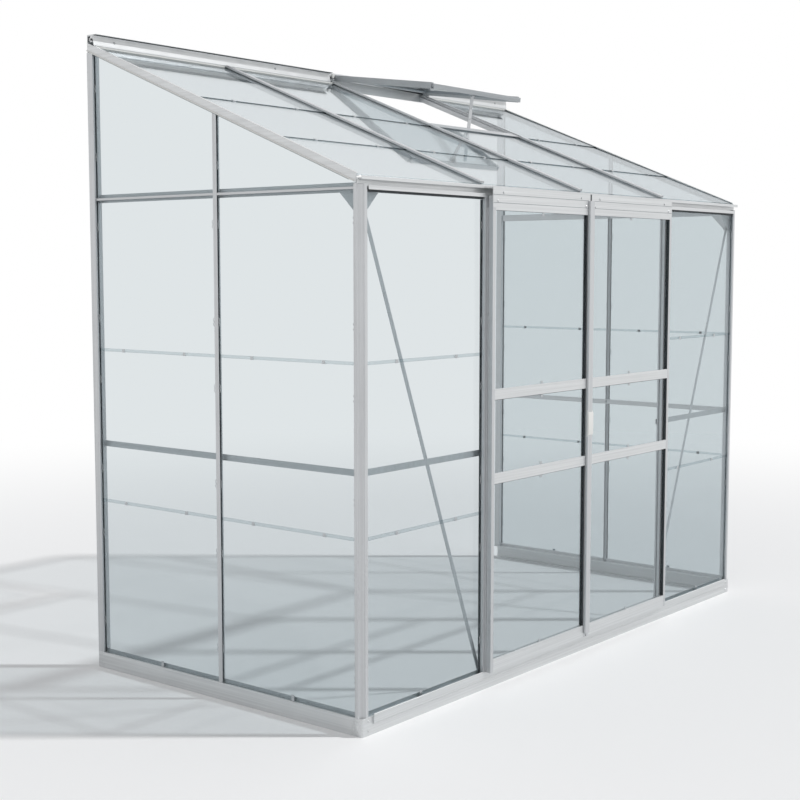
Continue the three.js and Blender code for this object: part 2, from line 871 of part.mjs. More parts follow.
// A place across a door, measured from its edge at the middle of the front.
function acrossDoor(side, place) {
  return side * (doorMiddleGap + place);
}

function wheelPin(x) {
  const place = [x, 0, rollerHeight];
  const shoulderEnd = rollerFrontY - rollerSideGap;
  const collarStart = rollerBackY + rollerSideGap;
  const collarEnd = collarStart + collarThickness;
  return [
    rod(yAxis, place, shoulderRadius, doorFrontY + sink, shoulderEnd, pinSides),
    rod(yAxis, place, pinRadius, doorFrontY + sink, collarEnd, pinSides),
    rod(yAxis, place, shoulderRadius, collarStart, collarEnd, pinSides),
    boltHead(yAxis.clone().negate(), [x, doorFrontY, rollerHeight]),
  ];
}

function doorTopRail(side) {
  const plate = [
    [doorFrontY, doorPlateBottom],
    [doorFrontY + doorPlate, doorPlateBottom],
    [doorFrontY + doorPlate, doorTop - doorPlate],
    [doorFrontY + doorPlateReturn, doorTop - doorPlate],
    [doorFrontY + doorPlateReturn, doorTop],
    [doorFrontY, doorTop],
  ];
  const head = railSection(doorHeadBottom, doorPlateBottom + doorPlate, -1);
  const forward = yAxis.clone().negate();
  const stileBolts = [stileBoltInset, doorWidth - stileBoltInset].map((place) =>
    boltHead(forward, [acrossDoor(side, place), doorFrontY, doorPlateBottom + stileBoltRise]),
  );
  const pins = [rollerInset, doorWidth - rollerInset].flatMap((place) => wheelPin(acrossDoor(side, place)));
  return joined(
    prismX(plate, acrossDoor(side, 0), acrossDoor(side, doorWidth)),
    betweenStiles(side, head),
    ...stileBolts,
    ...pins,
  );
}

// A door rail's section with the glass groove in its lower (-1) or upper (+1) edge.
function railSection(bottom, top, grooveSide) {
  const start = doorGlassY - fitGap;
  const end = doorGlassY + glassThickness + fitGap;
  const edge = grooveSide < 0 ? bottom : top;
  const grooveFloor = edge - grooveSide * doorGroove;
  const groove = [[start, edge], [start, grooveFloor], [end, grooveFloor], [end, edge]];
  const lower = grooveSide < 0 ? groove : [];
  const upper = grooveSide < 0 ? [] : [...groove].reverse();
  return [[doorFrontY, bottom], ...lower, [doorBackY, bottom], [doorBackY, top], ...upper, [doorFrontY, top]];
}

function betweenStiles(side, outline) {
  const inset = stileWidth + fitGap;
  return prismX(outline, acrossDoor(side, inset), acrossDoor(side, doorWidth - inset));
}

// A stile whose groove faces the door's glass, at the door's inner or outer edge.
function doorStile(side, isOuter) {
  const edge = isOuter ? doorWidth : 0;
  const towardsGlass = isOuter ? -1 : 1;
  const face = acrossDoor(side, edge);
  const glassSide = acrossDoor(side, edge + towardsGlass * stileWidth);
  const grooveFloor = acrossDoor(side, edge + towardsGlass * (stileWidth - doorGroove));
  const grooveStart = doorGlassY - fitGap;
  const grooveEnd = doorGlassY + glassThickness + fitGap;
  const outline = [
    [face, doorFrontY],
    [glassSide, doorFrontY],
    [glassSide, grooveStart],
    [grooveFloor, grooveStart],
    [grooveFloor, grooveEnd],
    [glassSide, grooveEnd],
    [glassSide, doorBackY],
    [face, doorBackY],
  ];
  const top = doorPlateBottom - fitGap;
  const tongue = rectangle(face, glassSide, doorFrontY + doorPlate + fitGap, doorBackY);
  const pieces = [prismZ(outline, doorBottom, top), prismZ(tongue, top - sink, top + tongueHeight)];
  if (side > 0 && !isOuter) pieces.push(doorHandle(side));
  return joined(...pieces);
}

// A pull handle on the middle of the right door's inner stile.
function doorHandle(side) {
  const handleTop = handleBottom + handleHeight;
  const outline = [
    [doorFrontY + sink, handleBottom],
    [doorFrontY, handleBottom],
    [doorFrontY - handleReach, handleBottom + handleTaper],
    [doorFrontY - handleReach, handleTop - handleTaper],
    [doorFrontY, handleTop],
    [doorFrontY + sink, handleTop],
  ];
  const start = (stileWidth - handleWidth) / 2;
  return prismX(outline, acrossDoor(side, start), acrossDoor(side, start + handleWidth));
}

function doorMidRail(side, bottom) {
  const outline = rectangle(doorFrontY, doorFrontY + midRailThickness, bottom, bottom + midRailHeight);
  return betweenStiles(side, outline);
}

function doorGlass(side) {
  const inset = stileWidth - doorGroove + edgeGap;
  const outline = rectangle(
    doorGlassY, doorGlassY + glassThickness,
    doorFootTop - doorGroove + edgeGap, doorHeadBottom + doorGroove - edgeGap,
  );
  return prismX(outline, acrossDoor(side, inset), acrossDoor(side, doorWidth - inset));
}

function roller() {
  const half = rollerWidth / 2;
  const profile = [
    [rollerBore, -half], [rollerRadius, -half], [rollerRadius, half], [rollerBore, half], [rollerBore, -half],
  ];
  return new THREE.LatheGeometry(profile.map(([r, y]) => new THREE.Vector2(r, y)), rollerSteps);
}

function addDoor(side, name) {
  addPiece(`${name}_top_rail`, doorTopRail(side), brightAluminium);
  addPiece(`${name}_bottom_rail`, betweenStiles(side, railSection(doorBottom, doorFootTop, 1)), brightAluminium);
  addPiece(`${name}_stile_outer`, doorStile(side, true), aluminium);
  addPiece(`${name}_stile_inner`, doorStile(side, false), aluminium);
  addPiece(`${name}_mid_rail_lower`, doorMidRail(side, lowerMidRail), brightAluminium);
  addPiece(`${name}_mid_rail_upper`, doorMidRail(side, upperMidRail), brightAluminium);
  addPiece(`${name}_glass`, doorGlass(side), glass);
  [rollerInset, doorWidth - rollerInset].forEach((place, index) => {
    const wheel = new THREE.Group();
    wheel.position.set(acrossDoor(side, place), rollerFrontY + rollerWidth / 2, rollerHeight);
    structure.add(wheel);
    addPiece(`${name}_roller_${index + 1}`, roller(), nylon, wheel);
  });
}

// Glass of the walls and the roof

const columnBottom = sillHeight + fitGap;
const columnTop = trackUnderside - fitGap;
const studEdge = barWeb / 2 + edgeGap;
const postEdge = postSize - grooveDepth + edgeGap;
const wallColumn = lappedSection(columnBottom, columnTop, [lowerSeam, upperSeam], slotEnd);

function frontGlass(side) {
  const outline = wallColumn.map(([depth, z]) => [depth - halfDepth, z]);
  return prismX(outline, side * (bayPitch + studEdge), fromEnd(side, postEdge));
}

function endGlass(side, isRear) {
  const outline = wallColumn.map(([depth, z]) => [fromEnd(side, depth), z]);
  const reach = halfDepth - postEdge;
  return isRear ? prismY(outline, studEdge, reach) : prismY(outline, -reach, -studEdge);
}

function gableGlass(side, isRear) {
  const postFace = halfDepth - postSize - fitGap;
  const [start, end] = isRear ? [studEdge, halfDepth - postEdge] : [-postFace, -studEdge];
  const drop = plumb(roofSeatUnderside + gableTopGap);
  const bottom = endRailFloorTop + fitGap;
  const outline = [
    [start, bottom],
    [end, bottom],
    [end, roofTopAt(end) - drop],
    [start, roofTopAt(start) - drop],
  ];
  const inner = slotEnd - fitGap;
  return prismX(outline, fromEnd(side, inner), fromEnd(side, inner - glassThickness));
}

function roofGlass(bay) {
  const rakeEdge = halfLength - rakeWall - edgeGap;
  const start = bay === 0 ? -rakeEdge : bayLine(bay) + studEdge;
  const end = bay === bays - 1 ? rakeEdge : bayLine(bay + 1) - studEdge;
  const slopeEnd = 2 * halfDepth - plateWall - fitGap - roofSlotEnd * Math.sin(roofPitch);
  const underVent = bay === ventBay;
  const top = underVent ? sillBarStart + sillBarWebInset - fitGap : plumb(slopeEnd);
  const seams = underVent ? [lowerRoofSeam] : [lowerRoofSeam, upperRoofSeam];
  const outline = lappedSection(roofGlassStart, top, seams, roofSlotEnd).map(([d, s]) => [s, -d]);
  return prismX(outline, start, end);
}

// Assembly

addPiece('base_sill_front', frontSill(), brightAluminium);
addPiece('front_eave_rail', frontEaveRail(), brightAluminium);
addPiece('wall_plate', wallPlate(), brightAluminium);

for (const [side, hand] of [[-1, 'left'], [1, 'right']]) {
  addPiece(`base_sill_${hand}`, sideSill(side), brightAluminium);
  addPiece(`corner_post_${hand}`, cornerPost(side), aluminium);
  addPiece(`wall_post_${hand}`, wallPost(side), aluminium);
  addPiece(`end_stud_${hand}`, endStud(side), aluminium);
  addPiece(`jamb_stud_${hand}`, jambStud(side), aluminium);
  addPiece(`rake_bar_${hand}`, rakeBar(side), brightAluminium);
  addPiece(`end_eave_rail_${hand}`, endEaveRail(side), aluminium);
  addPiece(`girt_${hand}`, endGirt(side), aluminium);
  addPiece(`front_brace_${hand}`, frontBrace(side), aluminium);
  addPiece(`front_glass_${hand}`, frontGlass(side), glass);
  for (const [isRear, place] of [[false, 'front'], [true, 'rear']]) {
    addPiece(`end_glass_${hand}_${place}`, endGlass(side, isRear), glass);
    addPiece(`gable_glass_${hand}_${place}`, gableGlass(side, isRear), glass);
  }
  addDoor(side, `door_${hand}`);
}

for (let line = 1; line < bays; line += 1) {
  addPiece(`roof_bar_${line}`, roofBar(bayLine(line)), aluminium);
}
for (let bay = 0; bay < bays; bay += 1) {
  addPiece(`roof_glass_${bay + 1}`, roofGlass(bay), glass, roofPlane);
}
addPiece('vent_sill_bar', ventSillBar(), aluminium, roofPlane);

const vent = new THREE.Group();
vent.position.set(bayLine(ventBay) + bayPitch / 2, hingeY, hingeZ);
vent.rotation.x = roofPitch - ventLift;
structure.add(vent);
addPiece('vent_frame', ventFrame(), brightAluminium, vent);
addPiece('vent_glass', ventGlass(), glass, vent);

const stay = new THREE.Group();
stay.position.set(0, -pivotReach, -pivotDrop);
vent.add(stay);
addPiece('vent_stay', ventStay(), aluminium, stay);

export default greenhouse;
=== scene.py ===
# %% [markdown]
# # A lean-to greenhouse
# Bright aluminium bars carry clear glass: four bays along the front, two bays at each end, two
# sliding doors in the middle and one roof vent propped open. The bars, doors, vent and rollers
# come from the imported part, which moves by its joints. This lesson gives them their finish and
# adds what a step closer shows: single panes, rubber seals, wire clips, bolts and gussets.

import json
import math

import bmesh
import bpy
from mathutils import Matrix, Vector


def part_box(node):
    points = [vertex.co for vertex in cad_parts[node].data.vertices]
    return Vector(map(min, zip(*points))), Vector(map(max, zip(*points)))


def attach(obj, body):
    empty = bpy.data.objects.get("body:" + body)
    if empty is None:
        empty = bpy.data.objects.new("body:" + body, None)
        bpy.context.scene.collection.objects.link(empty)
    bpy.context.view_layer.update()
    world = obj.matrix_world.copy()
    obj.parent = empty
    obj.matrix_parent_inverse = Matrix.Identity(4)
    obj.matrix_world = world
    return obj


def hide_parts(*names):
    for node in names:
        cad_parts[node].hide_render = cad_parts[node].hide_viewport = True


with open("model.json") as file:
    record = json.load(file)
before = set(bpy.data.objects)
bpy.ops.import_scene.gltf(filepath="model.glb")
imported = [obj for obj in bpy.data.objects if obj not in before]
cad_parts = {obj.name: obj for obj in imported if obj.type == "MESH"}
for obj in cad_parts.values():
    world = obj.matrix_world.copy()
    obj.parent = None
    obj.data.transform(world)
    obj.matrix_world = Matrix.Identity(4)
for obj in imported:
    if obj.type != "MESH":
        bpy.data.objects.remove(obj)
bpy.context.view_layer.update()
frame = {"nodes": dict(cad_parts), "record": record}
MM = 0.001
post_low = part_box("corner_post_left")[0]
FRONT = post_low.y / MM  # the front face in the shared frame
END = -post_low.x / MM  # half the length
EAVE = 1719  # the roof plane above the front face
PITCH = math.radians(22)
print("front face", round(FRONT, 2), "half length", round(END, 2))

# %% [markdown]
# ## Places
# Every size below is in millimetres. A place is told the way a fitter would say it: so far from
# the middle of the front, so deep behind the front face, so high above the ground. On the roof it
# is told as a distance up the slope and a height square to the panes.

# %% Places on the greenhouse


def spot(x, depth, z):
    return Vector((x, FRONT + depth, z)) * MM


def roof_spot(x, slope, above):
    depth = slope * math.cos(PITCH) - above * math.sin(PITCH)
    return spot(x, depth, EAVE + slope * math.sin(PITCH) + above * math.cos(PITCH))


ROOF_UP = Vector((0, math.cos(PITCH), math.sin(PITCH)))
ROOF_OUT = Vector((0, -math.sin(PITCH), math.cos(PITCH)))
RIGHT, BACK, UP = Vector((1, 0, 0)), Vector((0, 1, 0)), Vector((0, 0, 1))
BAY = 622  # one pane of 610 and one bar
WALL_SEAMS = (610, 1150)  # heights at which the wall panes lap
ROOF_SEAMS = (364, 764)  # distances up the slope at which the roof panes lap
LAP = 10
GLASS_FOOT = 58.3  # the wall panes stand on the sill here
SEAL_FOOT = 58.6
GIRT = 818.5  # the middle of the girts
print("length", round(2 * END, 1), "eave height", EAVE)

# %% [markdown]
# ## The photographer's place
# The camera stands left of the greenhouse at about eye height and looks a little down. Its place
# and lens were worked out from the lines of the photograph, so the render can be laid over it.

# %% Camera
lens = bpy.data.cameras.new("lens")
lens.sensor_width = 36
lens.lens = 1403.06 * 36 / 800
lens.clip_end = 100
camera = bpy.data.objects.new("camera", lens)
camera.location = (-4.4736, -3.33295, 1.4441)
yaw, nod = math.radians(51.22), math.radians(-5.39)
look = Vector((math.sin(yaw) * math.cos(nod), math.cos(yaw) * math.cos(nod), math.sin(nod)))
camera.rotation_euler = look.to_track_quat("-Z", "Y").to_euler()
bpy.context.scene.collection.objects.link(camera)
bpy.context.scene.camera = camera
bpy.context.scene.view_settings.view_transform = "Standard"
print("camera looks along", [round(v, 3) for v in look])

# %% [markdown]
# ## Building node trees
# Materials and Geometry Nodes are both trees of nodes. One small function adds a node, sets what
# is fixed on it and fills its sockets with plain values or with another node's output.

# %% One node


def add(tree, kind, sockets=None, **settings):
    node = tree.nodes.new(kind)
    for key, value in settings.items():
        setattr(node, key, value)
    for key, value in (sockets or {}).items():
        if isinstance(value, bpy.types.NodeSocket):
            tree.links.new(value, node.inputs[key])
        else:
            node.inputs[key].default_value = value
    return node


def linear(colour):
    def channel(text):
        value = int(text, 16) / 255
        return value / 12.92 if value <= 0.04045 else ((value + 0.055) / 1.055) ** 2.4

    return (channel(colour[1:3]), channel(colour[3:5]), channel(colour[5:7]), 1)


def new_material(name):
    material = bpy.data.materials.new(name)
    material.use_nodes = True
    material.node_tree.nodes.clear()
    return material, material.node_tree


# %% [markdown]
# ## Aluminium
# The bars are extruded aluminium, left as they come from the die with a satin anodised skin. The
# eye sees a pale grey metal, faint lines along each bar and slightly uneven gloss. The lines come
# from noise that is stretched along the bar, so each direction of bar has its own material. The
# milky skin scatters a part of the light before it meets the metal, so the metallic share is less
# than one. The bars that catch the most light get a copy painted lighter, and the vent's frame,
# which lies mostly in shade, gets a copy painted darker.

# %% Extruded aluminium
# Noise stays close to its middle. What follows it is spread over the span between these values.
NOISE_LOW, NOISE_HIGH = 0.3, 0.7


def extruded_aluminium(name, colour, along, roughness, metallic=0.72):
    material, tree = new_material(name)
    # Die lines are about 0.3 mm apart. They are drawn 5 mm apart, so that they show.
    across, length = 1 / (5 * MM), 1 / (600 * MM)
    scale = [length if axis == along else across for axis in "XYZ"]
    where = add(tree, "ShaderNodeTexCoord").outputs["Object"]
    stretched = add(tree, "ShaderNodeMapping", {"Vector": where, "Scale": scale}).outputs[0]
    lines = add(tree, "ShaderNodeTexNoise", {"Vector": stretched, "Scale": 1, "Detail": 1}).outputs[0]
    cloudy = {"Vector": where, "Scale": 1 / (70 * MM), "Detail": 4}
    clouds = add(tree, "ShaderNodeTexNoise", cloudy).outputs[0]
    spans = {"Value": clouds, "From Min": NOISE_LOW, "From Max": NOISE_HIGH,
             "To Min": roughness - 0.06, "To Max": roughness + 0.08}
    gloss = add(tree, "ShaderNodeMapRange", spans).outputs[0]
    tone = add(tree, "ShaderNodeValToRGB", {"Fac": lines})
    pale = linear(colour)
    tone.color_ramp.elements[0].position = NOISE_LOW
    tone.color_ramp.elements[1].position = NOISE_HIGH
    tone.color_ramp.elements[0].color = [part * 0.88 for part in pale[:3]] + [1]
    tone.color_ramp.elements[1].color = pale
    uneven = {"Height": lines, "Strength": 0.15, "Distance": 0.3 * MM}
    bump = add(tree, "ShaderNodeBump", uneven).outputs[0]
    shader = add(
        tree, "ShaderNodeBsdfPrincipled",
        {"Base Color": tone.outputs[0], "Metallic": metallic, "Roughness": gloss, "Normal": bump},
    ).outputs[0]
    add(tree, "ShaderNodeOutputMaterial", {"Surface": shader})
    return material


# The lighter copy is painted light for the bars that face the lamp, the darker one painted shade.
satin, painted_lighter = {}, {}
for along in "XYZ":
    satin[along] = extruded_aluminium(f"satin aluminium {along}", "#CCCED0", along, 0.42)
    painted_lighter[along] = extruded_aluminium(f"bright aluminium {along}", "#D9DBDC", along, 0.38)
painted_darker = extruded_aluminium("dull aluminium X", "#AEB2B5", "X", 0.5)
print("aluminium finishes", len(satin) + len(painted_lighter) + 1)

# %% [markdown]
# ## Glass, rubber, steel and nylon
# Horticultural glass is plain float glass, 3 mm thick. It takes a little of the light, more of the
# red than of the blue, and mirrors more the flatter one looks at it. Each face passes the light on
# straight, because flat panes hardly bend what is behind them. The cut edges look darker.
# Rubber is black and matt with a slightly dusty skin. A grey seal lies below the rake bars, and the
# same grey is painted shade under the door plates and in their ribs. Zinc plated steel has a
# mottled gloss, spring wire a brighter one. The moulded wheels and handle are off-white with the
# soft gloss that a mould leaves.

# %% Glass
# Iron in the glass and the film on it take a little of what the panes mirror. This is linear.
MIRROR_TINT = (0.78, 0.81, 0.83, 1)


def float_glass(name, tint, mirror):
    material, tree = new_material(name)
    where = add(tree, "ShaderNodeTexCoord").outputs["Object"]
    # Float glass waves over 250 mm or so, and rain leaves a faint film in patches of 120 mm.
    wavy = {"Vector": where, "Scale": 1 / (250 * MM), "Detail": 1}
    waves = add(tree, "ShaderNodeTexNoise", wavy).outputs[0]
    patchy = {"Vector": where, "Scale": 1 / (120 * MM), "Detail": 5}
    film = add(tree, "ShaderNodeTexNoise", patchy).outputs[0]
    uneven = {"Height": waves, "Strength": 0.1, "Distance": 1 * MM}
    bump = add(tree, "ShaderNodeBump", uneven).outputs[0]
    spans = {"Value": film, "From Min": NOISE_LOW, "From Max": NOISE_HIGH,
             "To Min": 0.005, "To Max": 0.03}
    gloss = add(tree, "ShaderNodeMapRange", spans).outputs[0]
    facing = add(tree, "ShaderNodeLayerWeight", {"Blend": 0.5}).outputs["Facing"]
    steep = add(tree, "ShaderNodeMath", {0: facing, 1: 5}, operation="POWER").outputs[0]
    share = add(tree, "ShaderNodeMapRange", {"Value": steep, "To Min": mirror, "To Max": 1}).outputs[0]
    through = add(tree, "ShaderNodeBsdfTransparent", {"Color": linear(tint)}).outputs[0]
    mirrored = {"Color": MIRROR_TINT, "Roughness": gloss, "Normal": bump}
    gleam = add(tree, "ShaderNodeBsdfAnisotropic", mirrored).outputs[0]
    shader = add(tree, "ShaderNodeMixShader", {0: share, 1: through, 2: gleam}).outputs[0]
    add(tree, "ShaderNodeOutputMaterial", {"Surface": shader})
    return material


glass = float_glass("horticultural float glass", "#EFF2F3", 0.04)
glass_edge = float_glass("cut edge of float glass", "#C4CDD0", 0.1)
# The cut edges where roof panes lap are painted darker, as painted shade.
roof_edge_painted_shade = float_glass("cut edge of a roof pane, seen flat on", "#6C777B", 0.06)

# %% Rubber, steel and nylon


# The grain is the size in millimetres of the patches that differ in tone and gloss.
def plain_finish(name, colour, dark, roughness, grain, metallic=0.0):
    material, tree = new_material(name)
    where = add(tree, "ShaderNodeTexCoord").outputs["Object"]
    grainy = {"Vector": where, "Scale": 1 / (grain * MM), "Detail": 4}
    noise = add(tree, "ShaderNodeTexNoise", grainy).outputs[0]
    tones = {0: noise, 6: linear(dark), 7: linear(colour)}
    tone = add(tree, "ShaderNodeMix", tones, data_type="RGBA").outputs[2]
    spans = {"Value": noise, "From Min": NOISE_LOW, "From Max": NOISE_HIGH,
             "To Min": roughness - 0.08, "To Max": roughness + 0.08}
    gloss = add(tree, "ShaderNodeMapRange", spans).outputs[0]
    uneven = {"Height": noise, "Strength": 0.3, "Distance": 0.1 * MM}
    bump = add(tree, "ShaderNodeBump", uneven).outputs[0]
    shader = add(
        tree, "ShaderNodeBsdfPrincipled",
        {"Base Color": tone, "Metallic": metallic, "Roughness": gloss, "Normal": bump},
    ).outputs[0]
    add(tree, "ShaderNodeOutputMaterial", {"Surface": shader})
    return material


rubber = plain_finish("extruded black rubber", "#3B4044", "#2A2E31", 0.62, 8)
# The same grey also stands for painted shade under the door plates and in their ribs.
grey_seal_and_painted_shade = plain_finish("weathered grey seal", "#81898D", "#6E767A", 0.6, 8)
zinc_steel = plain_finish("zinc plated steel", "#B9BCBE", "#8E9193", 0.38, 5, metallic=1.0)
spring_steel = plain_finish("stainless spring wire", "#C9CCCE", "#A9ADB0", 0.3, 4, metallic=1.0)
nylon = plain_finish("moulded nylon", "#E6E6E1", "#D8D8D2", 0.5, 3)
white_plastic = plain_finish("moulded white plastic", "#E6E6E3", "#DADAD7", 0.42, 6)
print("materials", len(bpy.data.materials))

# %% [markdown]
# ## The bars
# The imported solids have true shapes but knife-sharp edges. A real extrusion has its edges broken
# by about half a millimetre, and that thin line is what catches the light. Each bar is a copy of
# its solid with the triangles joined to faces and a narrow bevel, and it stands for that solid.

# %% Finish a bar
bodies = frame["record"]["behaviour"]["bodies"]
body_of = {node: body for body, nodes in bodies.items() for node in nodes}


def finish_mesh(obj, edge, segments=2):
    bevel = obj.modifiers.new("broken edges", "BEVEL")
    bevel.width = edge * MM
    bevel.segments = segments
    bevel.limit_method = "ANGLE"
    bevel.angle_limit = math.radians(35)
    bevel.use_clamp_overlap = True
    bevel.harden_normals = True
    baked = bpy.data.meshes.new_from_object(obj.evaluated_get(bpy.context.evaluated_depsgraph_get()))
    obj.modifiers.clear()
    obj.data = baked


def link(name, mesh, *materials):
    obj = bpy.data.objects.new(name, mesh)
    bpy.context.scene.collection.objects.link(obj)
    for material in materials:
        obj.data.materials.append(material)
    return obj


def copy_of(node, name, *materials, edge=0.5, front_limit=None):
    shape = bmesh.new()
    shape.from_mesh(frame["nodes"][node].data)
    bmesh.ops.remove_doubles(shape, verts=shape.verts, dist=0.005 * MM)
    if front_limit is not None:
        everything = shape.verts[:] + shape.edges[:] + shape.faces[:]
        bmesh.ops.bisect_plane(shape, geom=everything, plane_co=front_limit, plane_no=-BACK,
                               clear_outer=True)
        bmesh.ops.holes_fill(shape, edges=[rim for rim in shape.edges if rim.is_boundary])
    bmesh.ops.dissolve_limit(shape, angle_limit=math.radians(0.5), verts=shape.verts, edges=shape.edges)
    for face in shape.faces:
        face.smooth = True
    mesh = bpy.data.meshes.new(name)
    shape.to_mesh(mesh)
    shape.free()
    mesh.set_sharp_from_angle(angle=math.radians(35))
    obj = link(name, mesh, *materials)
    finish_mesh(obj, edge)
    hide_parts(node)
    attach(obj, body_of[node])
    return obj


def both(*patterns):
    return [pattern.format(hand) for hand in ("left", "right") for pattern in patterns]


rails = both("door_{}_top_rail", "door_{}_bottom_rail", "door_{}_mid_rail_lower",
             "door_{}_mid_rail_upper")
sloping = both("base_sill_{}", "end_eave_rail_{}", "girt_{}", "rake_bar_{}")
uprights = both("corner_post_{}", "wall_post_{}", "end_stud_{}", "jamb_stud_{}", "front_brace_{}")
stiles = both("door_{}_stile_outer", "door_{}_stile_inner")
runs_along = {
    "X": ["base_sill_front", "front_eave_rail", "wall_plate", "vent_sill_bar", "vent_frame"] + rails,
    "Y": sloping + ["roof_bar_1", "roof_bar_2", "roof_bar_3"],
    "Z": uprights + stiles + ["vent_stay"],
}
# Bars that face the light take the copy painted lighter.
painted_lighter_bars = ("base_sill", "front_eave", "wall_plate", "door_", "vent_frame", "rake_bar")
for along, nodes in runs_along.items():
    for node in nodes:
        finish = painted_lighter if node.startswith(painted_lighter_bars) and "stile" not in node else satin
        rounding = 0.9 if node.endswith("top_rail") or node == "front_eave_rail" else 0.5
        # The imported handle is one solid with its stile. It is cut off, and a white one takes its place.
        limit = spot(0, -27.6, 0) if node == "door_right_stile_inner" else None
        # The vent's frame takes the aluminium painted darker, as painted shade.
        material = painted_darker if node == "vent_frame" else finish[along]
        copy_of(node, f"{node}_bar", material, edge=rounding, front_limit=limit)
print("bars", sum(len(nodes) for nodes in runs_along.values()))

# %% Rollers
rollers = [name for name in frame["nodes"] if "roller" in name]
for node in rollers:
    copy_of(node, f"{node}_wheel", nylon, edge=0.6)
print("rollers", len(rollers))

# %% [markdown]
# ## The panes
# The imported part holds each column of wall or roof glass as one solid. On the real greenhouse a
# column is three panes that overlap like roof slates, so that rain runs off outside: the foot of
# each upper pane lies on the head of the one below it. Each pane is a thin slab with ground edges.

# %% One pane
PANE = 2.6


def pane(name, corners, inward, body, cut=glass_edge):
    shape = bmesh.new()
    outer = [shape.verts.new(corner) for corner in corners]
    inner = [shape.verts.new(corner + inward.normalized() * PANE * MM) for corner in corners]
    shape.faces.new(outer)
    shape.faces.new(inner[::-1])
    for a in range(len(outer)):
        b = (a + 1) % len(outer)
        edge = shape.faces.new((outer[b], outer[a], inner[a], inner[b]))
        edge.material_index = 1
    bmesh.ops.bevel(shape, geom=shape.edges[:], offset=0.35 * MM, segments=1, affect="EDGES",
                    material=1)
    bmesh.ops.recalc_face_normals(shape, faces=shape.faces)
    mesh = bpy.data.meshes.new(name)
    shape.to_mesh(mesh)
    shape.free()
    obj = link(name, mesh, glass, cut)
    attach(obj, body)
    return obj


# A column's panes, each with the places of its foot and head and how deep its outer face lies
# there. An upper pane leans, because its foot lies on the pane below.
def column(start, end, seams, seat, lean=2.9):
    feet = [start, *seams]
    heads = [*(seam + LAP for seam in seams), end]
    return [(foot, head, seat - PANE - lean, seat - PANE) for foot, head in zip(feet, heads)]


# %% Wall and roof panes
WALL = column(GLASS_FOOT, 1683.7, WALL_SEAMS, 13.2)
panes = 0
for side, hand in ((-1, "left"), (1, "right")):
    for k, (foot, head, low, high) in enumerate(WALL):
        x0, x1 = side * (BAY + 2.5), side * (END - 25)
        corners = [spot(x0, low, foot), spot(x1, low, foot), spot(x1, high, head), spot(x0, high, head)]
        sheet = pane(f"front_pane_{hand}_{k + 1}", corners, BACK, "frame")
        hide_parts(f"front_glass_{hand}")
        for place, (d0, d1) in {"front": (25, 625), "rear": (630, 1230)}.items():
            xl, xh = side * (END - low), side * (END - high)
            corners = [spot(xl, d0, foot), spot(xl, d1, foot), spot(xh, d1, head), spot(xh, d0, head)]
            sheet = pane(f"end_pane_{hand}_{place}_{k + 1}", corners, RIGHT * -side, "frame")
            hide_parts(f"end_glass_{hand}_{place}")
            panes += 1
        panes += 1

for bay in range(4):
    x0 = -END + 5 if bay == 0 else (bay - 2) * BAY + 2.5
    x1 = END - 5 if bay == 3 else (bay - 1) * BAY - 2.5
    if bay == 2:  # below the vent
        roof = column(13, 774.7, ROOF_SEAMS[:1], 8.2)
    else:
        roof = column(13, 1346.6, ROOF_SEAMS, 8.2)
    for k, (foot, head, low, high) in enumerate(roof):
        corners = [roof_spot(x0, foot, -low), roof_spot(x1, foot, -low),
                   roof_spot(x1, head, -high), roof_spot(x0, head, -high)]
        # The upper panes' feet get the edge painted in shade.
        cut = roof_edge_painted_shade if k else glass_edge
        sheet = pane(f"roof_pane_{bay + 1}_{k + 1}", corners, -ROOF_OUT, "frame", cut)
        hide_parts(f"roof_glass_{bay + 1}")
        panes += 1
print("wall and roof panes", panes)

# %% Door panes
DOOR_PANES = ((101, 730.5), (732, 1017.5), (1019, 1641))
for side, hand in ((-1, "left"), (1, "right")):
    for k, (foot, head) in enumerate(DOOR_PANES):
        x0, x1 = side * 13, side * 612
        corners = [spot(x0, -20, foot), spot(x1, -20, foot), spot(x1, -20, head), spot(x0, -20, head)]
        sheet = pane(f"door_{hand}_pane_{k + 1}", corners, BACK, f"door_{hand}")
        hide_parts(f"door_{hand}_glass")
print("door panes", 2 * len(DOOR_PANES))


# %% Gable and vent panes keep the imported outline
# The two largest faces of a pane are clear, and the others are its cut edges.
def edge_faces(obj):
    areas = sorted((face.area for face in obj.data.polygons), reverse=True)
    for face in obj.data.polygons:
        face.material_index = 0 if face.area >= areas[1] * 0.99 else 1


kept = [name for name in frame["nodes"] if name.startswith("gable_glass")] + ["vent_glass"]
for node in kept:
    edge_faces(copy_of(node, f"{node}_pane", glass, glass_edge, edge=0.35))
print("gable and vent panes", len(kept))

# %% [markdown]
# ## Seals and trim
# Black rubber lies between glass and metal: along the door's stiles, beside the jambs and on the
# end studs. Each is an outline drawn once and pushed along a line, as the rubber itself is pushed
# through a die. Most of them lie level along the front, or stand upright.

# %% One strip


def strip(name, outline, start, end, across, out, material, body, edge=0.3):
    shape = bmesh.new()
    ends = []
    for foot in (start, end):
        ends.append([shape.verts.new(foot + (across * a + out * b) * MM) for a, b in outline])
    shape.faces.new(ends[0])
    shape.faces.new(ends[1][::-1])
    for a in range(len(outline)):
        b = (a + 1) % len(outline)
        shape.faces.new((ends[0][b], ends[0][a], ends[1][a], ends[1][b]))
    bmesh.ops.recalc_face_normals(shape, faces=shape.faces)
    mesh = bpy.data.meshes.new(name)
    for face in shape.faces:
        face.smooth = True
    shape.to_mesh(mesh)
    shape.free()
    mesh.set_sharp_from_angle(angle=math.radians(35))
    obj = link(name, mesh, material)
    if edge:
        finish_mesh(obj, edge, 1)
    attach(obj, body)
    return obj


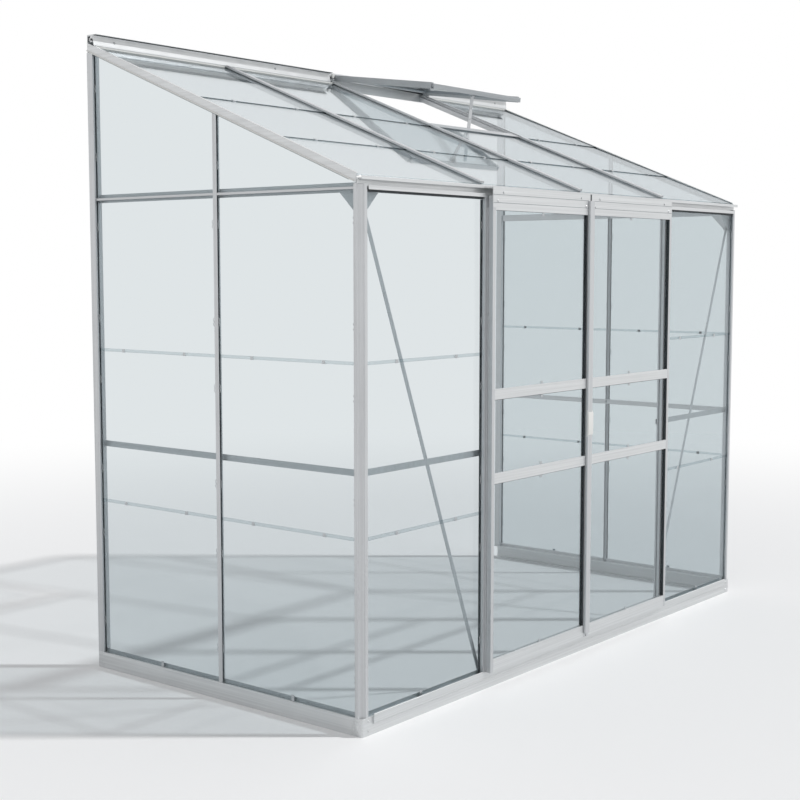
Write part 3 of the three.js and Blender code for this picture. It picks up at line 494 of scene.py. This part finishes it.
# A level strip, with its outline drawn as depths and heights.
def level(name, outline, x0, x1, material, body, edge=0.3):
    return strip(name, outline, spot(x0, 0, 0), spot(x1, 0, 0), BACK, UP, material, body, edge)


# An upright strip, with its outline drawn from (x, depth) along across and out.
def upright(name, outline, x, depth, z0, z1, across, out, material, body, edge=0.3):
    return strip(name, outline, spot(x, depth, z0), spot(x, depth, z1), across, out, material, body,
                 edge)


def box(a0, a1, b0, b1):
    return [(a0, b0), (a1, b0), (a1, b1), (a0, b1)]


# %% Rubber of the doors
STILE = 16
DOOR_GAPS = ((107.4, 712.6), (749.9, 999.6), (1036.9, 1634.6))  # clear heights between the rails
for side, hand in ((-1, "left"), (1, "right")):
    body = f"door_{hand}"
    for place, near, towards in (("inner", 3 + STILE, 1), ("outer", BAY - STILE, -1)):
        face, turned = side * near, RIGHT * side * towards
        for k, (z0, z1) in enumerate(DOOR_GAPS):
            upright(f"{body}_seal_{place}_front_{k + 1}", box(0.1, 1.4, -26.6, -20.4), face, 0, z0, z1,
                    turned, BACK, rubber, body)
        upright(f"{body}_seal_{place}_back", box(0.1, 1.4, -17, -9.9), face, 0, DOOR_GAPS[0][0],
                DOOR_GAPS[-1][1], turned, BACK, rubber, body)
print("door seals", 2 * 2 * (len(DOOR_GAPS) + 1))

# %% Rubber beside the jambs, on the end studs and along the eaves
LEDGE = box(13.9, 15.6, 58.2, 71)  # a low strip behind the foot of the wall panes
for side, hand in ((-1, "left"), (1, "right")):
    upright(f"jamb_seal_{hand}", box(9.2, 11.6, 13.6, 17.5), side * BAY, 0, SEAL_FOOT, 1669,
            RIGHT * side, BACK, rubber, "frame")
    upright(f"jamb_rib_{hand}", box(-0.8, 0.8, -9, -4.2), side * (BAY + 1.6), 0, 66, 1643,
            RIGHT * side, BACK, satin["Z"], "frame")
    level(f"eave_seal_{hand}", box(3, 7.2, 1670.5, 1683.5), side * (BAY + 13.6), side * (END - 30.5),
          rubber, "frame")
    for place, (d0, d1) in {"front": (30.5, 618), "rear": (637, 1224)}.items():
        strip(f"end_ledge_{hand}_{place}", LEDGE, spot(side * END, d0, 0), spot(side * END, d1, 0),
              RIGHT * -side, UP, satin["Y"], "frame")
    level(f"front_ledge_{hand}", LEDGE, side * (BAY + 9.5), side * (END - 30.5), satin["X"], "frame")
    for place, towards in (("front", -1), ("rear", 1)):
        upright(f"end_stud_seal_{hand}_{place}", box(3, 9.4, 6.8, 7.6), side * END, 627.5, SEAL_FOOT,
                1954, BACK * towards, RIGHT * -side, rubber, "frame")
    upright(f"wall_post_seal_{hand}", box(0, 7.5, 6.8, 7.6), side * END, 1231, SEAL_FOOT, 2176,
            -BACK, RIGHT * -side, rubber, "frame")
print("seals and ledges of the walls made")

# %% Bead and seal on the rake bars; the white bead is a painted highlight
BEAD_REACH, BEAD_HALF = 2.4, 3
half_round = [(0, 0)]
for degrees in range(18, 180, 18):
    turn = math.radians(degrees)
    half_round.append((BEAD_REACH * math.sin(turn), BEAD_HALF - BEAD_HALF * math.cos(turn)))
half_round.append((0, 2 * BEAD_HALF))
for side, hand in ((-1, "left"), (1, "right")):
    # The bead is white plastic so that it shows as a painted highlight along the rake's lower edge.
    strip(f"rake_bead_{hand}", half_round, roof_spot(side * END, 19, -28),
          roof_spot(side * END, 1341, -28), RIGHT * side, ROOF_OUT, white_plastic, "frame", edge=0)
    strip(f"rake_seal_{hand}", box(4.3, 9.6, -30.6, -20), roof_spot(side * END, 45, 0),
          roof_spot(side * END, 1325, 0), RIGHT * -side, ROOF_OUT, grey_seal_and_painted_shade, "frame")
print("points of the bead's outline", len(half_round))

# %% [markdown]
# ## The skirt of the wall plate and the bar caps
# Where no vent hangs in its channel, the plate carries a skirt: a pressed aluminium strip that
# hides the channel and sheds the rain onto the panes. Its upper lip stands forward, and a black
# strip under it is painted shade, which the roof panes mirror as a dark band. A pale soft seal
# closes the joint with the glass. At each end of the vent a small plastic stop keeps the hinge
# bead from sliding out.
# The roof bars carry caps that stand a little above them, on one side only where the vent lies
# beside them.

# %% Skirt, tape and seals
skirt = [(1224.2, 2251.6), (1206, 2251.6), (1206, 2249.6), (1222.4, 2249.6), (1223.4, 2246),
         (1223.5, 2237), (1221.6, 2228), (1219.4, 2217), (1218.9, 2213.8), (1219.6, 2212.9),
         (1221.2, 2213.2), (1224.2, 2228)]
soft_seal = [(1220, 2213.4), (1221.4, 2213.4), (1222.2, 2207.1), (1220.8, 2206.6)]
for hand, x0, x1 in (("left", -END + 3.4, -25), ("right", BAY + 25, END - 3.4)):
    level(f"plate_skirt_{hand}", skirt, x0, x1, painted_lighter["X"], "frame", edge=0.4)
    # A black strip under the lip, painted shade.
    level(f"lip_tape_{hand}", box(1208, 1222, 2248.5, 2249.7), x0, x1, rubber, "frame", edge=0.2)
for bay in (0, 1, 3):
    x0 = -END + 13 if bay == 0 else (bay - 2) * BAY + 10.5
    x1 = END - 13 if bay == 3 else (bay - 1) * BAY - 10.5
    level(f"skirt_seal_{bay + 1}", soft_seal, x0, x1, white_plastic, "frame", edge=0.2)
print("points of the skirt's outline", len(skirt))

# %% Caps on the roof bars
CAP_FOOT, VENT_FOOT, CAP_HEAD = 20, 752, 1311  # distances up the slope
half_cap = [(-9.8, -2.3), (-9.8, 3.6), (-8.4, 5), (-1, 5), (-1, 0.2), (-9.2, 0.2), (-9.2, -2.3)]
full_cap = half_cap[:3] + [(8.4, 5), (9.8, 3.6), (9.8, -2.3), (9.2, -2.3), (9.2, 0.2)] + half_cap[-2:]
for line in (-1, 0, 1):
    x = line * BAY
    head = CAP_HEAD if line < 0 else VENT_FOOT
    away = RIGHT if line < 1 else -RIGHT  # the vent lies on the other side
    strip(f"bar_cap_{line + 2}", full_cap, roof_spot(x, CAP_FOOT, 0), roof_spot(x, head, 0), away,
          ROOF_OUT, satin["Y"], "frame", edge=0.4)
    if line >= 0:
        strip(f"bar_half_cap_{line + 2}", half_cap, roof_spot(x, VENT_FOOT + 0.5, 0),
              roof_spot(x, CAP_HEAD, 0), away, ROOF_OUT, satin["Y"], "frame", edge=0.4)
print("bar caps", 3 + 2)

# %% Hinge stops
stop = box(1218.6, 1224.2, 2231, 2247)
for hand, x0 in (("left", -13.5), ("right", BAY + 1.8)):
    level(f"hinge_stop_{hand}", stop, x0, x0 + 11.5, white_plastic, "frame", edge=1)
print("hinge stops", 2)

# %% [markdown]
# ## Gusset plates
# Flat triangles of aluminium stand in the two front corners behind the glass. They are bolted to
# the eave rails and the posts and keep the corner square in the wind.

# %% Gussets
GUSSET_TOP, GUSSET_LEG = 1690, 95
corner = [(0, GUSSET_TOP), (GUSSET_LEG, GUSSET_TOP), (0, GUSSET_TOP - GUSSET_LEG)]
for side, hand in ((-1, "left"), (1, "right")):
    x = side * (END - 30.4)
    strip(f"gusset_front_{hand}", corner, spot(x, 20.3, 0), spot(x, 22.3, 0), RIGHT * -side, UP,
          satin["X"], "frame")
    xo, xi = side * (END - 25.3), side * (END - 27.3)
    strip(f"gusset_end_{hand}", corner, spot(xo, 30.4, 0), spot(xi, 30.4, 0), BACK, UP, satin["Y"],
          "frame")
print("gussets with legs of", GUSSET_LEG, "mm")

# %% [markdown]
# ## Trim of the doors
# The right door carries a cover strip that closes the gap between the doors, and on it a white
# plastic handle. A black rubber bumper on its top plate meets the other door. It fills the gap
# between the plates, so its black is partly painted shade. Thin rubber lies along the rails' lower
# edges, and a grey strip under each top plate is painted shade. The plates that hide the rollers
# have two fine ribs, painted grey as the shade of grooves. Faces of two pieces never lie in one
# plane, because such faces shade each other black.

# %% Cover strip, handle, bumper, seals and ribs
cover = [(-17, -27.9), (-17, -36), (-15.8, -37.5), (11.8, -37.5), (13, -36), (13, -27.9)]
upright("meeting_cover", cover, 0, 0, 76, 1686, RIGHT, BACK, satin["Z"], "door_right", edge=0.8)
grip = [(-31, 818), (-34, 818), (-39.4, 832), (-39.4, 907), (-34, 921), (-31, 921)]
level("handle_grip", grip, -18, 17.5, white_plastic, "door_right", edge=1.6)
# The bumper's black also paints the shade of the gap between the plates.
bumper = [(-3.2, -28.6), (3.8, -28.6), (3.8, -27.6), (2.9, -27.6), (2.9, -12), (-2.3, -12),
          (-2.3, -27.6), (-3.2, -27.6)]
upright("meeting_bumper", bumper, 0, 0, 1686.4, 1709.6, RIGHT, BACK, rubber, "door_right", edge=0.2)
# The third strip, grey under the top plate, is painted shade.
RAIL_SEALS_AND_PAINTED_SHADE = ((711.4, 712.8, rubber), (998.4, 999.8, rubber), (1634, 1642.6, grey_seal_and_painted_shade))
for side, hand in ((-1, "left"), (1, "right")):
    for k, (z0, z1, material) in enumerate(RAIL_SEALS_AND_PAINTED_SHADE):
        level(f"door_{hand}_rail_seal_{k + 1}", box(-24.6, -20.3, z0, z1), side * 20, side * 605,
              material, f"door_{hand}", edge=0.2)
    # The ribs are grey to paint the shade of grooves.
    for k, z in enumerate((1660, 1686.5)):
        level(f"door_{hand}_plate_rib_{k + 1}", box(-28, -27.4, z - 0.7, z + 0.7), side * 14,
              side * 621, grey_seal_and_painted_shade, f"door_{hand}", edge=0)
print("rail seals", 2 * len(RAIL_SEALS_AND_PAINTED_SHADE), "plate ribs", 2 * 2)

# %% [markdown]
# ## Clips, bolts and screws
# A greenhouse like this has dozens of the same small parts. W-shaped spring wires press the glass
# to the uprights, bent strips hook the foot of each upper pane to the pane below, and every joint
# has its bolt. Geometry Nodes makes one piece and sets it on many points. Each point carries its
# own turn, and the result is turned into a plain mesh, one for each body and kind.

# %% Trees for what repeats


def new_tree(name, inputs):
    tree = bpy.data.node_groups.new(name, "GeometryNodeTree")
    tree.is_modifier = True
    tree.interface.new_socket("Geometry", in_out="INPUT", socket_type="NodeSocketGeometry")
    for label, kind in inputs.items():
        tree.interface.new_socket(label, in_out="INPUT", socket_type=f"NodeSocket{kind}")
    tree.interface.new_socket("Geometry", in_out="OUTPUT", socket_type="NodeSocketGeometry")
    return tree, add(tree, "NodeGroupInput").outputs


def end_tree(tree, source, piece, roll=None):
    turn = add(tree, "GeometryNodeInputNamedAttribute", {"Name": "turn"}, data_type="FLOAT_VECTOR")
    turned = add(tree, "FunctionNodeEulerToRotation", {"Euler": turn.outputs[0]}).outputs[0]
    set_out = {"Points": source["Geometry"], "Instance": piece, "Rotation": turned}
    many = add(tree, "GeometryNodeInstanceOnPoints", set_out).outputs[0]
    if roll is not None:
        spin = add(tree, "ShaderNodeCombineXYZ", {"Z": roll}).outputs[0]
        rolled = {"Instances": many, "Rotation": spin}
        many = add(tree, "GeometryNodeRotateInstances", rolled).outputs[0]
    real = add(tree, "GeometryNodeRealizeInstances", {"Geometry": many}).outputs[0]
    finished = {"Geometry": real, "Material": source["Finish"]}
    done = add(tree, "GeometryNodeSetMaterial", finished).outputs[0]
    add(tree, "NodeGroupOutput", {0: done})
    return tree


# A clip follows its centre line: wire has a round section, strip a flat one.
def clip_tree():
    tree, source = new_tree("bent clip", {
        "Centre Line": "Object", "Bend Radius": "Float", "Width": "Float", "Thickness": "Float",
        "Is Strip": "Bool", "Finish": "Material",
    })
    line = add(tree, "GeometryNodeObjectInfo", {"Object": source["Centre Line"]}).outputs["Geometry"]
    path = add(tree, "GeometryNodeMeshToCurve", {"Mesh": line}).outputs[0]
    bend = {"Curve": path, "Count": 3, "Radius": source["Bend Radius"], "Limit Radius": True}
    bent = add(tree, "GeometryNodeFilletCurve", bend, mode="POLY").outputs[0]
    half = add(tree, "ShaderNodeMath", {0: source["Thickness"], 1: 2}, operation="DIVIDE").outputs[0]
    ring = add(tree, "GeometryNodeCurvePrimitiveCircle", {"Resolution": 8, "Radius": half}).outputs[0]
    sides = {"Width": source["Width"], "Height": source["Thickness"]}
    flat = add(tree, "GeometryNodeCurvePrimitiveQuadrilateral", sides).outputs[0]
    either = {"Switch": source["Is Strip"], "False": ring, "True": flat}
    section = add(tree, "GeometryNodeSwitch", either, input_type="GEOMETRY").outputs[0]
    sweep = {"Curve": bent, "Profile Curve": section, "Fill Caps": True}
    swept = add(tree, "GeometryNodeCurveToMesh", sweep).outputs[0]
    return end_tree(tree, source, swept)


# A fastener is a washer, a head and the head's chamfer. Each one is turned by chance.
def bolt_tree():
    tree, source = new_tree("bolt or screw", {
        "Sides": "Int", "Head Radius": "Float", "Head Height": "Float", "Washer Radius": "Float",
        "Washer Height": "Float", "Seed": "Int", "Finish": "Material",
    })
    wide, radius, height = source["Washer Radius"], source["Head Radius"], source["Head Height"]
    disc = {"Vertices": 24, "Radius Top": wide, "Radius Bottom": wide,
            "Depth": source["Washer Height"]}
    washer = add(tree, "GeometryNodeMeshCone", disc).outputs[0]
    prism = {"Vertices": source["Sides"], "Radius Top": radius, "Radius Bottom": radius,
             "Depth": height}
    head = add(tree, "GeometryNodeMeshCone", prism).outputs[0]
    small = add(tree, "ShaderNodeMath", {0: radius, 1: 0.8}, operation="MULTIPLY").outputs[0]
    thin = add(tree, "ShaderNodeMath", {0: height, 1: 0.3}, operation="MULTIPLY").outputs[0]
    taper = {"Vertices": source["Sides"], "Radius Top": small, "Radius Bottom": radius,
             "Depth": thin}
    crown = add(tree, "GeometryNodeMeshCone", taper).outputs[0]
    lift = add(tree, "ShaderNodeCombineXYZ", {"Z": height}).outputs[0]
    raised = add(tree, "GeometryNodeTransform", {"Geometry": crown, "Translation": lift}).outputs[0]
    whole = add(tree, "GeometryNodeJoinGeometry")
    for part in (washer, head, raised):
        tree.links.new(part, whole.inputs[0])
    turns = {2: 0.0, 3: math.radians(60), "Seed": source["Seed"]}
    chance = add(tree, "FunctionNodeRandomValue", turns, data_type="FLOAT")
    return end_tree(tree, source, whole.outputs[0], chance.outputs[1])


clips, bolts = clip_tree(), bolt_tree()
print("trees", clips.name, "and", bolts.name)

# %% Setting them on points


# Where a piece sits, and its own three directions: sideways, along and out.
def place(where, along, out):
    return where, along.cross(out), along, out


def repeat(name, tree, places, body, **values):
    mesh = bpy.data.meshes.new(name)
    mesh.from_pydata([where for where, *_ in places], [], [])
    turn = mesh.attributes.new("turn", "FLOAT_VECTOR", "POINT")
    for k, (_, side, along, out) in enumerate(places):
        turn.data[k].vector = Matrix((side, along, out)).transposed().to_euler()
    obj = link(name, mesh)
    modifier = obj.modifiers.new("repeat", "NODES")
    modifier.node_group = tree
    for item in tree.interface.items_tree:
        key = item.name.lower().replace(" ", "_")
        if item.item_type == "SOCKET" and item.in_out == "INPUT" and key in values:
            modifier[item.identifier] = values[key]
    baked = bpy.data.meshes.new_from_object(obj.evaluated_get(bpy.context.evaluated_depsgraph_get()))
    obj.modifiers.clear()
    obj.data = baked
    for face in baked.polygons:
        face.use_smooth = True
    baked.set_sharp_from_angle(angle=math.radians(35))
    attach(obj, body)
    print(name, len(places), "pieces,", len(baked.polygons), "faces")


def centre_line(name, points):
    mesh = bpy.data.meshes.new(name)
    edges = [(k, k + 1) for k in range(len(points) - 1)]
    mesh.from_pydata([Vector(point) * MM for point in points], edges, [])
    return link(name, mesh)


wave = [(0, 14, 0), (6.5, 8.5, 0), (1.4, 0, 0), (6.5, -8.5, 0), (0, -14, 0)]
spring = centre_line("spring wire line", wave)
hook = centre_line("seam hook line", [(0, -1, -2.8), (0, -1, 0.7), (0, 10, 0.7)])
angle = centre_line("angle clip line", [(0, 0.6, 5), (0, 0.6, 0.6), (0, 20, 0.6)])
tab = centre_line("door tab line", [(0, 0.9, 3.4), (0, 0.9, 1), (0, 9, 1)])

# %% Spring wires on the uprights
WIRE_HEIGHTS = (175, 497, 730, 1048, 1266, 1585)
# Depth of each edge of an end pane, the way to the pane's middle and the wires beside the gable.
PANE_EDGES = ((30.9, 1, ()), (617.7, -1, (1775,)), (637.3, 1, ()), (1224.1, -1, (1830, 2065)))
places = []
for side in (-1, 1):
    out = RIGHT * side
    for depth, towards, higher in PANE_EDGES:
        for z in WIRE_HEIGHTS + higher:
            places.append(place(spot(side * (END - 6.6), depth, z), UP * side * towards, out))
    for z in WIRE_HEIGHTS:
        places.append(place(spot(side * (END - 30.9), 6.6, z), UP * -side, -BACK))
        places.append(place(spot(side * (BAY + 12.9), 6.6, z), UP * side, -BACK))
repeat("spring_wires", clips, places, "frame", centre_line=spring, bend_radius=2 * MM,
       thickness=1.7 * MM, finish=spring_steel)

# %% Hooks at the laps and angle clips on the sills
FACE = 7.7  # depth of the glass face at a pane's foot
HOOK_OFFSETS = (-155, 155)  # from the middle of a pane
places, feet = [], []
for side in (-1, 1):
    for offset in HOOK_OFFSETS:
        for seam in WALL_SEAMS:
            places.append(place(spot(side * 933 + offset, FACE, seam), UP, -BACK))
            for middle in (313.75, 941.25):
                places.append(place(spot(side * (END - FACE), middle + offset, seam), UP, RIGHT * side))
    feet.append(place(spot(side * 965, FACE, GLASS_FOOT), UP, -BACK))
    for middle in (298, 918):
        feet.append(place(spot(side * (END - FACE), middle, GLASS_FOOT), UP, RIGHT * side))
for bay in range(4):
    for seam in ROOF_SEAMS[:1] if bay == 2 else ROOF_SEAMS:
        for offset in HOOK_OFFSETS:
            places.append(place(roof_spot((bay - 1.5) * BAY + offset, seam, -2.7), ROOF_UP, ROOF_OUT))
flat = {"bend_radius": 0.6 * MM, "width": 13 * MM, "thickness": 0.8 * MM, "is_strip": True,
        "finish": spring_steel}
repeat("seam_hooks", clips, places, "frame", centre_line=hook, **flat)
repeat("sill_clips", clips, feet, "frame", centre_line=angle, **flat)

# %% Tabs that hold the door panes
TAB_X, TAB_FACE = 309, -20.1
thick = {**flat, "thickness": 1.6 * MM}
for side, hand in ((-1, "left"), (1, "right")):
    places = [place(spot(side * TAB_X, TAB_FACE, z), UP, -BACK) for z in (107, 749.5, 1036.5)]
    places += [place(spot(side * TAB_X, TAB_FACE, z), -UP, -BACK) for z in (711.2, 998.2, 1633.8)]
    repeat(f"door_{hand}_tabs", clips, places, f"door_{hand}", centre_line=tab, **thick)
for line in (spring, hook, angle, tab):
    bpy.data.objects.remove(line)

# %% Nuts inside
EAVE_BOLT, POST_BOLT = 1680, 1612  # heights of the gussets' bolts
places = []
for side in (-1, 1):
    inward, edge = RIGHT * -side, side * (END - 27.4)
    places += [place(spot(edge, depth, EAVE_BOLT), UP, inward) for depth in (48, 104)]
    places.append(place(spot(edge, 42, POST_BOLT), UP, inward))
    places += [place(spot(side * (END - 25.9), depth, GIRT), UP, inward) for depth in (45, 627.5, 1210)]
    places.append(place(spot(side * (END - 25.1), 627.5, 1677), UP, inward))
    places += [place(spot(side * x, 22.4, EAVE_BOLT), UP, BACK) for x in (END - 48, END - 104)]
    places.append(place(spot(side * (END - 42), 22.4, POST_BOLT), UP, BACK))
    places += [place(spot(side * x, 25.9, GIRT), UP, BACK) for x in (END - 45, BAY + 8)]
nuts = {"sides": 6, "head_radius": 5 * MM, "head_height": 3.4 * MM, "washer_radius": 6.2 * MM,
        "washer_height": 0.9 * MM, "seed": 7, "finish": zinc_steel}
repeat("frame_nuts", bolts, places, "frame", **nuts)

# %% Screws and roller bolts outside
pan = {"sides": 24, "head_radius": 4.4 * MM, "head_height": 1.2 * MM, "washer_radius": 4.6 * MM,
       "washer_height": 0.4 * MM, "seed": 3, "finish": zinc_steel}
places = [place(spot(x, 1222.6, 2232), UP, -BACK) for x in (-1170, -353, 1170)]
repeat("plate_screws", bolts, places, "frame", **pan)
for side, hand in ((-1, "left"), (1, "right")):
    places = [place(spot(side * x, -27.5, 1694.8), UP, -BACK) for x in (65, 560)]
    repeat(f"door_{hand}_roller_bolts", bolts, places, f"door_{hand}", **pan)

# %% [markdown]
# ## Floor and light
# A plain pale floor takes the shadow. One large soft lamp stands high in front and to the right,
# as the shadows of the photograph say, and the sky fills in the rest. What the camera, mirrors and
# panes see as background is white by the light path, so no lamp has to burn the floor out.

# %% Floor
WHITE = (1, 1, 1, 1)


# One for the rays that look at the background, and nothing for those that light the greenhouse.
def looking(tree):
    rays = add(tree, "ShaderNodeLightPath").outputs
    seen = rays["Is Camera Ray"]
    for other in ("Is Glossy Ray", "Is Transmission Ray"):
        seen = add(tree, "ShaderNodeMath", {0: seen, 1: rays[other]}, operation="MAXIMUM").outputs[0]
    return seen


FADE_START, FADE_END, FLOOR_RADIUS = 2.2, 7, 25  # metres from the middle
material, tree = new_material("pale studio floor")
where = add(tree, "ShaderNodeTexCoord").outputs["Object"]
length = add(tree, "ShaderNodeVectorMath", {0: where}, operation="LENGTH").outputs["Value"]
span = {"Value": length, "From Min": FADE_START, "From Max": FADE_END}
far = add(tree, "ShaderNodeMapRange", span, interpolation_type="SMOOTHSTEP").outputs[0]
fade = add(tree, "ShaderNodeMath", {0: far, 1: looking(tree)}, operation="MULTIPLY").outputs[0]
matt = add(tree, "ShaderNodeBsdfDiffuse", {"Color": linear("#F6F6F6")}).outputs[0]
white = add(tree, "ShaderNodeEmission", {"Color": WHITE, "Strength": 1}).outputs[0]
mixed = add(tree, "ShaderNodeMixShader", {0: fade, 1: matt, 2: white}).outputs[0]
add(tree, "ShaderNodeOutputMaterial", {"Surface": mixed})
floor_mesh = bpy.data.meshes.new("floor")
ring = []
for degrees in range(0, 360, 6):
    turn = math.radians(degrees)
    ring.append((FLOOR_RADIUS * math.cos(turn), FLOOR_RADIUS * math.sin(turn), 0))
floor_mesh.from_pydata(ring, [], [list(range(len(ring)))])
link("floor", floor_mesh, material)
print("floor fades to white from", FADE_START, "to", FADE_END, "m")

# %% Light
world = bpy.data.worlds.new("studio")
bpy.context.scene.world = world
world.use_nodes = True
tree = world.node_tree
tree.nodes.clear()
sky = add(tree, "ShaderNodeBackground", {"Color": linear("#F7F8FA"), "Strength": 0.56}).outputs[0]
paper = add(tree, "ShaderNodeBackground", {"Color": WHITE, "Strength": 1}).outputs[0]
mixed = add(tree, "ShaderNodeMixShader", {0: looking(tree), 1: sky, 2: paper}).outputs[0]
add(tree, "ShaderNodeOutputWorld", {"Surface": mixed})

sun = bpy.data.lights.new("key", "SUN")
sun.energy = 1.75
sun.angle = math.radians(3)
key = bpy.data.objects.new("key", sun)
towards_light = Vector((0.627 * 0.7, -0.779 * 0.7, 0.72))
key.rotation_euler = towards_light.to_track_quat("Z", "Y").to_euler()
bpy.context.scene.collection.objects.link(key)
print("the lamp shines from", [round(v, 2) for v in towards_light])
